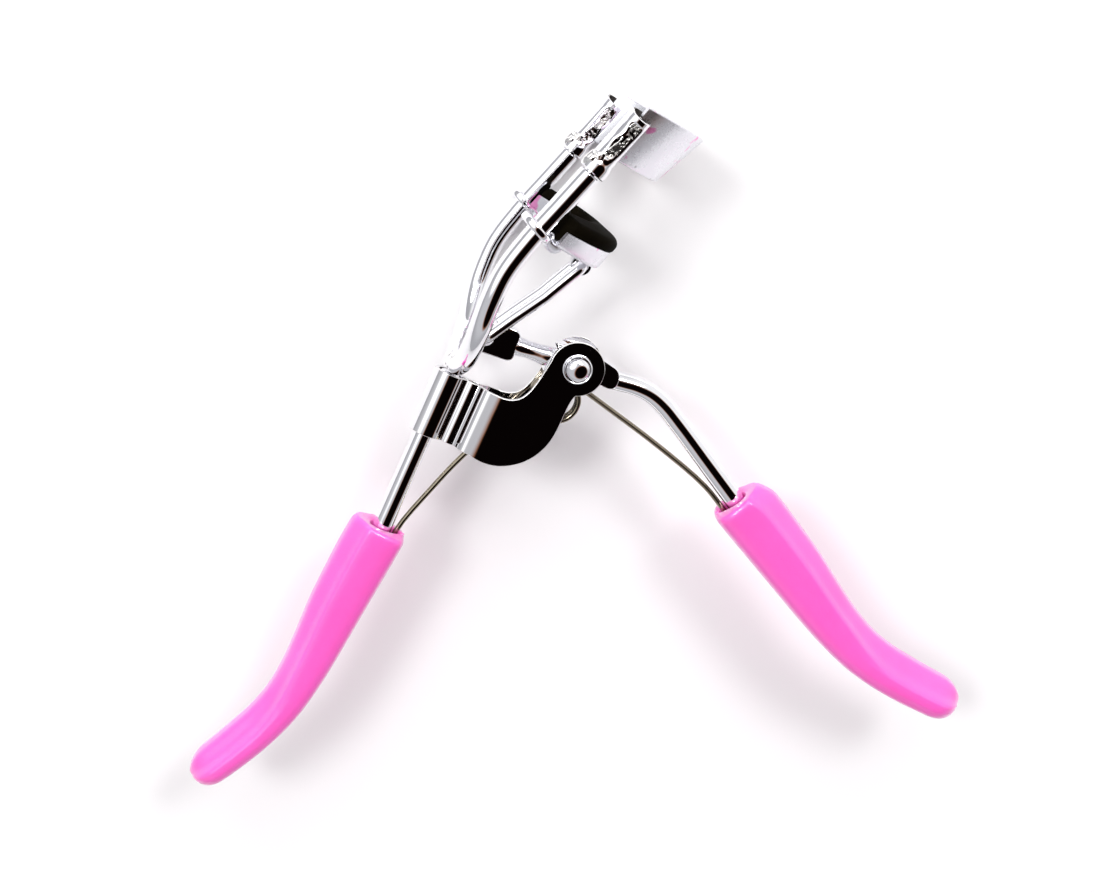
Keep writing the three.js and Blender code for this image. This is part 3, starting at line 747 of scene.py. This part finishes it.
def sleeve(bm, side):
    """The rolled socket at one end of the plate: open and slanted at the top, with an uneven seam."""
    sides, rows = 56, 80
    seam = math.radians(100)
    outer, inner = [], []
    for row in range(rows + 1):
        y = SLEEVE_BOTTOM + (SLEEVE_TOP - SLEEVE_BOTTOM) * row / rows
        sway = 0.08 * math.sin(0.9 * y + side) + 0.05 * math.sin(2.3 * y)
        collar = 0.3 / (1 + math.exp((y - SLEEVE_BOTTOM - 1.7) / 0.2))
        above = smoothstep(SLEEVE_BOTTOM + 2.2, SLEEVE_BOTTOM + 3.2, y)
        above *= 1 - smoothstep(SLEEVE_TOP - 2.2, SLEEVE_TOP - 1.4, y)
        width = 0.42 + 0.07 * math.sin(1.9 * y + 2 * side)
        lip = min(1, (SLEEVE_TOP - y) / 0.2, (y - SLEEVE_BOTTOM) / 0.2)
        rounding = 0.15 * (1 - math.sqrt(max(0, 1 - (1 - lip) ** 2)))
        slant = 0.9 * smoothstep(SLEEVE_TOP - 1.8, SLEEVE_TOP, y)
        ring = []
        for a in full_turn(sides):
            low = y - slant * (0.5 + 0.5 * math.sin(a))
            off = math.atan2(math.sin(a - seam), math.cos(a - seam)) - sway
            groove = 0.3 * above * math.exp(-(off / width) ** 4)
            lips = 0.04 * above * math.exp(-((abs(off) - width - 0.28) / 0.2) ** 2)
            r = SLEEVE_RADIUS + collar - rounding - groove + lips
            ring.append(Vector((PRONG_X - r * math.cos(a), low, side * PRONG_SPREAD + r * math.sin(a))))
        outer.append(ring)
        r = SLEEVE_RADIUS - SLEEVE_WALL - 0.15 * above
        inner.append([Vector((PRONG_X - r * math.cos(a), y - slant * (0.5 + 0.5 * math.sin(a)),
                              side * PRONG_SPREAD + r * math.sin(a))) for a in full_turn(sides)])
    loft(bm, outer + inner[::-1] + [outer[0]], closed=True)


def sleeve_solder():
    """Frozen solder at the foot of each sleeve and in its seam."""
    bm = bmesh.new()
    for side in (1, -1):
        foot = Vector((PRONG_X, SLEEVE_BOTTOM + 1.1, side * PRONG_SPREAD))
        lump(bm, foot + Vector((-1.35, 0.2, 0.9)), (0.75, 1.15, 0.85), (0, 1, 0), 0.7, 0.1)
        lump(bm, foot + Vector((-0.6, 1.2, 1.35)), (0.6, 0.8, 0.45), (0.2, 1, 0), 2.0, 0.12)
        seam = [Vector((PRONG_X - 0.3 + 0.14 * math.sin(1.7 * y), y, side * PRONG_SPREAD + 1.42))
                for y in [SLEEVE_BOTTOM + 2.6 + 0.35 * i for i in range(SOLDER_STEPS)]]
        thickness = [0.13 + 0.06 * math.sin(2.3 * i) for i in range(SOLDER_STEPS)]
        bar(bm, seam, thickness, sides=12, round_off=0.05)
    finish_piece(bm, "sleeve_solder", "frame", solder_metal)


def holder_section(angle, size):
    """The pad holder's section: a shallow open channel with rounded lower corners and lips."""
    climb = rise(angle)
    low = CHANNEL_BOTTOM + climb / 2
    high = CHANNEL_TOP + climb
    wide = CHANNEL_HALF_WIDTH * size
    floor = low + CHANNEL_WALL
    inside = wide - CHANNEL_WALL
    bend = 0.6
    corner = [(bend * (1 - math.sin(a)), bend * (1 - math.cos(a))) for a in quarter_turn(5)]
    right = [(wide - dx, low + dy) for dx, dy in corner]
    right += [(wide, high - 0.2), (wide - 0.08, high - 0.05), (wide - CHANNEL_WALL / 2, high)]
    right += [(inside + 0.08, high - 0.05), (inside, high - 0.2)]
    right += [(inside, floor + 0.35), (inside - 0.35, floor)]
    left = [(-x, y) for x, y in right[::-1]]
    return [(ARC_RADIUS + x, y) for x, y in right + left]


def pad_channel():
    """The channel that holds the pad, its eyelets round the prongs and its knuckle for the yoke."""
    bm = bmesh.new()
    bent_strip(bm, CHANNEL_HALF_ANGLE, 64, holder_section)
    rings = bmesh.new()
    wall, half = 0.36, 0.55
    loop = [(EYELET_RADIUS - wall + wall * math.cos(a),
             half * math.copysign(abs(math.sin(a)) ** 0.7, math.sin(a))) for a in full_turn(24)]
    for side in (1, -1):
        middle = Vector((PRONG_X - 0.45, EYELET_Y, side * PRONG_SPREAD))
        turned(rings, loop, middle, (0.12, 1, 0), closed=True, steps=48)
        curl = [arc_point(side * a, ARC_RADIUS, y) for a, y in
                ((47, CHANNEL_BOTTOM + 0.45), (51, CHANNEL_BOTTOM + 0.3), (54.5, CHANNEL_BOTTOM + 0.1))]
        bar(bm, curl, [1.5, 1.4, 1.0], sides=20, round_off=0.5)
    half_length, bore = 1.4, YOKE_WIRE_RADIUS + 0.12
    tube = [(bore, -half_length), (KNUCKLE_RADIUS - 0.15, -half_length),
            (KNUCKLE_RADIUS, 0.15 - half_length), (KNUCKLE_RADIUS, half_length - 0.15),
            (KNUCKLE_RADIUS - 0.15, half_length), (bore, half_length)]
    turned(rings, tube, KNUCKLE, (0, 0, 1), closed=True)
    finish_piece(rings, "holder_eyelets", "lower_jaw", bright_chrome)
    finish_piece(bm, "pad_channel", "lower_jaw", jaw_chrome, ["pad_holder"])


def pad_section(angle, size):
    """The rubber pad's section: a foot in the channel, a full body above it and a round crown."""
    climb = rise(angle)
    top = PLATE_BOTTOM + climb - JAW_GAP
    foot = CHANNEL_BOTTOM + climb / 2 + CHANNEL_WALL + 0.1
    seat = CHANNEL_TOP + climb + 0.05
    wide = (CHANNEL_HALF_WIDTH + 0.02) * size
    narrow = (CHANNEL_HALF_WIDTH - CHANNEL_WALL - 0.12) * size
    round_off = min(1.15, wide)
    crown_y = seat + (top - seat) * (1 if size == 1 else 0.35 + 0.65 * size)
    crown = [(wide - round_off * (1 - math.cos(a)), crown_y - 1.0 + 1.0 * math.sin(a))
             for a in quarter_turn(7)]
    right = [(narrow, foot), (narrow, seat), (wide - 0.15, seat), (wide, seat + 0.12)] + crown
    left = [(-x, y) for x, y in right[::-1]]
    return [(ARC_RADIUS + x, y) for x, y in right + left]


def pad():
    """The rubber pad, a little rounded at its ends."""
    bm = bmesh.new()
    closing = ((0.35, 0.97), (0.7, 0.88), (0.95, 0.72))
    bent_strip(bm, PAD_HALF_ANGLE, 64, pad_section, closing)
    finish_piece(bm, "rubber_cushion", "lower_jaw", pad_rubber, ["rubber_pad"])


# ---- linkage -----------------------------------------------------------------------------

def yoke():
    """A U of wire: over the knuckle at the top, its two feet turned in through the lever block."""
    leg = [LEVER_PIN[:2], (-11.5, -0.6), (-10.3, 4.4), (-9.75, 8.2), KNUCKLE[:2]]
    near = [Vector((*place, YOKE_SPREAD)) for place in leg]
    far = [Vector((*place, -YOKE_SPREAD)) for place in leg[::-1]]
    points = [Vector((*LEVER_PIN[:2], 0.2)), *near, *far, Vector((*LEVER_PIN[:2], -0.2))]
    bm = bmesh.new()
    bar(bm, evenly(eased_corners(points, 1.15), 0.8), YOKE_WIRE_RADIUS, sides=24, round_off=0.2)
    finish_piece(bm, "yoke_wire", "push_yoke", bright_chrome, ["push_yoke"])


def lever():
    """Block, waisted neck and hub on the jaw side of the rivet; a cranked rod on the grip side."""
    bm = bmesh.new()
    out = LEVER_PIN.normalized()
    up = Vector((out.y, -out.x, 0))
    reach = LEVER_PIN.length

    def at(along, above):
        point = out * along + up * above
        return (point.x, point.y)

    block = traced(at(8.9, -1.5), (at(8.95, -2.0), at(9.3, -2.25), at(9.9, -2.3)), at(reach + 0.6, -2.35),
                   (at(reach + 2.6, -2.35), at(reach + 3.2, 0.4), at(reach + 1.6, 1.85)),
                   (at(reach + 1.2, 2.35), at(reach + 0.6, 2.35), at(reach, 2.35)), at(9.9, 2.3),
                   (at(9.3, 2.25), at(8.95, 2.0), at(8.9, 1.5)))
    edge = evenly(block + [block[0]], 0.5)[:-1]
    slab_with_hole(bm, edge, LEVER_PIN, BLOCK_HOLE_RADIUS, BLOCK_HALF_THICKNESS, 0.3)
    hub = traced((-4.4, 0.75), ((-2.6, 1.9), (-1.2, 2.9), (0.6, 3.2)), (4.2, 3.6),
                 ((5.3, 3.7), (6.2, 2.2), (6.0, 1.4)), ((5.9, 0.95), (5.5, 0.75), (5.2, 0.65)),
                 ((4.2, 0.5), (2.4, -0.4), (1.2, -1.2)), ((0.5, -1.85), (-0.5, -1.85), (-0.9, -1.45)),
                 ((-1.9, -2.2), (-2.6, -3.2), (-3.3, -3.45)))
    edge = evenly(hub + [hub[0]], 0.4)[:-1]
    slab_with_hole(bm, edge, Vector((0, 0, 0)), HUB_HOLE_RADIUS, HUB_HALF_THICKNESS, 0.25)
    waist = [(10.6, 1.1), (9.6, 1.32), (8.9, 1.42), (8.2, 1.36), (7.2, 1.26), (6.2, 1.3), (5.2, 1.42),
             (4.4, 1.5), (3.4, 1.5)]
    middles = [Vector((*at(along, 0), 0)) for along, radius in waist]
    bar(bm, middles, [radius for along, radius in waist], sides=32, round_off=0.1)
    straight = LEVER_FACE - LEVER_OUT * 14.4
    bend = [Vector((x, y, 0)) for x, y in ((4.2, 1.5), (5.9, 2.3), (8.2, 3.4), (10.5, 4.05), (12.9, 4.1))]
    crank = smooth_line([*bend, straight, straight + LEVER_OUT * 7, LEVER_FACE + LEVER_OUT * ROD_IN_GRIP])
    bar(bm, crank, ROD_RADIUS, sides=36, round_off=0.2)
    finish_piece(bm, "lever_and_rod", "moving_handle", bright_chrome, ["lever_arm"],
                 weighted=True)


def spring():
    """One wire: a leg from each grip and a coil between the cheeks, below the rivet."""
    fixed = STEM_TOP + STEM_DOWN * STEM_TO_GRIP + STEM_ACROSS * SPRING_OFFSET
    moving = LEVER_FACE - LEVER_UP * SPRING_OFFSET
    points = [fixed + STEM_DOWN * SPRING_IN_GRIP, fixed, Vector((-3.4, -27.0, 0.35)),
              Vector((-3.35, -20.2, 0.7)), Vector((-2.4, -11.0, COIL_HALF_HEIGHT))]
    total = 84 + 360 * COIL_TURNS
    for a in range(0, total + 1, 12):
        turn = math.radians(180 - a)
        points.append(Vector((COIL_CENTRE[0] + COIL_RADIUS * math.cos(turn),
                              COIL_CENTRE[1] + COIL_RADIUS * math.sin(turn),
                              COIL_HALF_HEIGHT * (1 - 2 * a / total))))
    points += [Vector((8.0, -1.6, -COIL_HALF_HEIGHT * 0.8)), Vector((17.0, -0.85, -COIL_HALF_HEIGHT * 0.5)),
               Vector((26.0, -0.65, -COIL_HALF_HEIGHT * 0.15)), moving + LEVER_OUT * 0.6,
               moving + LEVER_OUT * SPRING_IN_GRIP]
    bm = bmesh.new()
    bar(bm, evenly(smooth_line(points, 4), 0.8), SPRING_WIRE_RADIUS, sides=16, round_off=0.1)
    piece = finish_piece(bm, "coil_spring", None, spring_wire, ["torsion_spring"])
    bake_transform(piece)


# ---- grips -------------------------------------------------------------------------------

# Stations of a grip as (distance from its face, outward offset, half height).
GRIP_LINE = smooth_line([Vector(p) for p in (
    (0, 0.3, 4.15), (4, 0.35, 4.2), (9, 0.3, 4.1), (14, 0.2, 3.95), (20, -0.1, 3.6), (25, -0.2, 3.3),
    (30, 0.15, 3.1), (34.3, 1.1, 3.0), (38, 2.35, 2.95), (41.3, 3.65, 2.85), (44, 4.8, 2.75),
    (TAIL_END, 6.2, 2.7))], 12)


def grip_station(along):
    """Outward offset of the centre line, and half height, at a distance from the face."""
    i = max(1, next((k for k, p in enumerate(GRIP_LINE) if p.x >= along), len(GRIP_LINE) - 1))
    a, b = GRIP_LINE[i - 1], GRIP_LINE[i]
    p = a.lerp(b, (along - a.x) / (b.x - a.x))
    return p.y, p.z


def grip_section(ridge):
    """Half of a grip's section as (outwards, up) shares: boxy inwards, a ridge, a sloped outer face."""
    return smooth_line([Vector((*p, 0)) for p in (
        (-1, 0), (-0.985, 0.4), (-0.86, 0.8), (-0.55, 0.965), (min(-0.1, ridge - 0.35), 1.0),
        (ridge - 0.08, 0.985), (ridge + 0.05, 0.945), (0.35 + ridge * 0.65, 0.72 - 0.1 * (0.32 - ridge)),
        (0.9, 0.36), (1, 0))], 5)


def grip(name, node, body, face, ahead, outwards, rod_ahead, rod_out, fuller):
    """A soft sleeve: rounded mouth with a keyhole for rod and spring, then a flattened, swept tail."""
    placed = [GRIP_MOUTH * (1 - math.cos(a)) for a in quarter_turn(6)[:-1]]
    placed += [GRIP_MOUTH + (TAIL_START - GRIP_MOUTH) * i / 64 for i in range(65)]
    placed += [TAIL_START + (TAIL_END - TAIL_START) * math.sin(a) for a in quarter_turn(12, first=1)[:-1]]

    def ring(along):
        out, half = grip_station(along)
        before, after = grip_station(max(0, along - 0.6)), grip_station(min(TAIL_END, along + 0.6))
        slope = math.atan2(after[0] - before[0], 1.2) * smoothstep(1, 6, along)
        depth = 3.9 + 0.5 * smoothstep(8, 38, along)
        close = math.sqrt(max(0, 1 - (max(0, along - TAIL_START) / (TAIL_END - TAIL_START)) ** 2))
        lip = 0.6 * (1 - math.sqrt(max(0, 1 - max(0, 1 - along / GRIP_MOUTH) ** 2)))
        swell = fuller * smoothstep(0, 3, along)
        scoop = smoothstep(24, 37, along)
        upper = grip_section(0.3 - 0.27 * scoop)
        share = upper + [Vector((p.x, -p.y, 0)) for p in upper[-2:0:-1]]
        points = []
        for p in share:
            hollow = 0.4 * scoop * close ** 3 * max(0, p.x + 0.1) * max(0, 1 - p.x) * 4 * abs(p.y)
            rise_out = ((half + swell) * close - lip) * p.x - 0.35 * hollow
            z = (depth * close - lip) * p.y - math.copysign(hollow * 0.6 * close, p.y) * (abs(p.y) > 0.01)
            u = along - math.sin(slope) * rise_out
            v = out + swell + math.cos(slope) * rise_out
            points.append(face + ahead * u + outwards * v + Vector((0, 0, z)))
        return points

    sides = len(ring(1))

    def opening(depth, tight):
        """The keyhole, wide round the rod and narrow at the spring."""
        points = []
        for turn in full_turn(sides):
            c = math.cos(math.pi - turn)
            s = math.sin(math.pi - turn)
            v = (1.75 * c if c > 0 else 2.75 * c) * tight
            wide = 1.75 * (1 - 0.5 * max(0, -c) ** 1.5) * tight
            points.append(face + rod_ahead * depth + rod_out * v + Vector((0, 0, wide * s)))
        return points

    bm = bmesh.new()
    rings = [ring(along) for along in placed]
    inside = [opening(depth, tight) for depth, tight in
              ((5.0, 0.9), (2.0, 0.95), (0.55, 1.0), (0.15, 1.08), (-0.02, 1.25))]
    loft(bm, inside + rings)
    finish_piece(bm, name, body, grip_vinyl, [node])


def grips():
    """The grip on the stem and the grip on the lever, each splayed a little from its rod."""
    lean = STEM_LEAN - FIXED_GRIP_SPLAY
    grip("fixed_sleeve", "fixed_grip", "frame", STEM_TOP + STEM_DOWN * STEM_TO_GRIP,
         Vector((math.sin(lean), -math.cos(lean), 0)), Vector((-math.cos(lean), -math.sin(lean), 0)),
         STEM_DOWN, -STEM_ACROSS, 0.0)
    lean = LEVER_DROOP - MOVING_GRIP_SPLAY
    grip("moving_sleeve", "moving_grip", "moving_handle", LEVER_FACE,
         Vector((math.cos(lean), -math.sin(lean), 0)), Vector((math.sin(lean), math.cos(lean), 0)),
         LEVER_OUT, LEVER_UP, 0.4)


stem()
prong(1, "front_prong", "prong_front")
prong(-1, "back_prong", "prong_back")
crotch_weld()
bracket()
rivet()
upper_plate()
sleeves()
sleeve_solder()
pad_channel()
pad()
yoke()
lever()
spring()
grips()


# ---- floor, light and camera ---------------------------------------------------------------

def floor():
    """A plain pale table top under the tool."""
    finish = Finish("pale_table")
    cloud = finish.noise(60.0, detail=3)
    colour = finish.mix(cloud, (0.9, 0.89, 0.9), (0.93, 0.925, 0.93))
    material = finish.set(Base_Color=colour, Roughness=0.7 + cloud * 0.1)
    bm = bmesh.new()
    bmesh.ops.create_grid(bm, x_segments=8, y_segments=8, size=1.5)
    bmesh.ops.translate(bm, verts=bm.verts, vec=(0, 0, cad_box[0][2]))
    mesh = bpy.data.meshes.new("table")
    bm.to_mesh(mesh)
    bm.free()
    mesh.materials.append(material)
    table = bpy.data.objects.new("table", mesh)
    bpy.context.scene.collection.objects.link(table)


def around_the_table():
    """Round the table: grey walls, two bright patches, a darker one, and a dark screen with a brown rim."""
    world = bpy.data.worlds.new("studio")
    world.use_nodes = True
    bpy.context.scene.world = world
    nodes = Nodes(world.node_tree)
    ways = nodes.node("ShaderNodeTexCoord", {}, output="Generated")

    def towards(way):
        """The cosine of the angle from a direction."""
        return nodes.node("ShaderNodeVectorMath", {"operation": "DOT_PRODUCT"}, ways,
                          Vector(way).normalized(), output="Value")

    def cone(way, inner, outer):
        """1 within the inner angle of a direction, 0 beyond the outer angle."""
        return towards(way).between(math.cos(math.radians(outer)), math.cos(math.radians(inner)))

    height = towards((0, 0, 1))
    wall = nodes.mix(height.between(0.1, 0.5), (0.44, 0.44, 0.46), (0.58, 0.58, 0.6))
    wall = nodes.mix(cone((-0.6, -0.05, 0.8), 18, 30), wall, (1.5, 1.5, 1.5))
    wall = nodes.mix(cone((0.3, 1, 0.45), 20, 45), wall, (1.0, 1.0, 1.0))
    wall = nodes.mix(cone((1, 0, 0.7), 8, 18), wall, (0.14, 0.13, 0.13))
    wall = nodes.mix(cone((0.56, 0, 0.83), 35, 43), wall, (0.3, 0.13, 0.07))
    wall = nodes.mix(cone((0.56, 0, 0.83), 32, 38), wall, (0.002, 0.001, 0.001))
    background = next(n for n in world.node_tree.nodes if n.type == "BACKGROUND")
    nodes.feed(background.inputs["Color"], wall)
    background.inputs["Strength"].default_value = 1.0


def soft_box(name, way, spread, brightness):
    """A round soft box in a given direction from the tool, with its half angle in degrees."""
    data = bpy.data.lights.new(name, "AREA")
    data.shape = "DISK"
    data.size = 2 * LAMP_REACH * math.tan(math.radians(spread))
    data.energy = brightness * math.pi * math.pi * (data.size / 2) ** 2
    lamp = bpy.data.objects.new(name, data)
    way = Vector(way).normalized()
    turn = way.to_track_quat("Z", "Y").to_matrix().to_4x4()
    lamp.matrix_world = Matrix.Translation(way * LAMP_REACH) @ turn
    bpy.context.scene.collection.objects.link(lamp)


def camera():
    """The camera, high over the tool and turned so that its prongs point up and to the right."""
    data = bpy.data.cameras.new("camera")
    data.sensor_width = 36.0
    data.lens = CAMERA_LENS
    data.clip_start = 0.01
    ahead = (CAMERA_TARGET - CAMERA_SPOT).normalized()
    right = ahead.cross(CAMERA_UP).normalized()
    up = right.cross(ahead)
    turn = Matrix((right, up, -ahead)).transposed().to_4x4()
    view = bpy.data.objects.new("camera", data)
    view.matrix_world = Matrix.Translation(pivot + CAMERA_SPOT * MM) @ turn
    bpy.context.scene.collection.objects.link(view)
    bpy.context.scene.camera = view


floor()
around_the_table()
soft_box("window", (-0.53, 0.58, 0.62), 20, 2.9)
soft_box("left_lamp", (-0.54, -0.02, 0.84), 7, 19.0)
soft_box("right_lamp", (-0.1, 0.62, 0.78), 7, 19.0)
camera()
bpy.context.scene.view_settings.view_transform = "Standard"
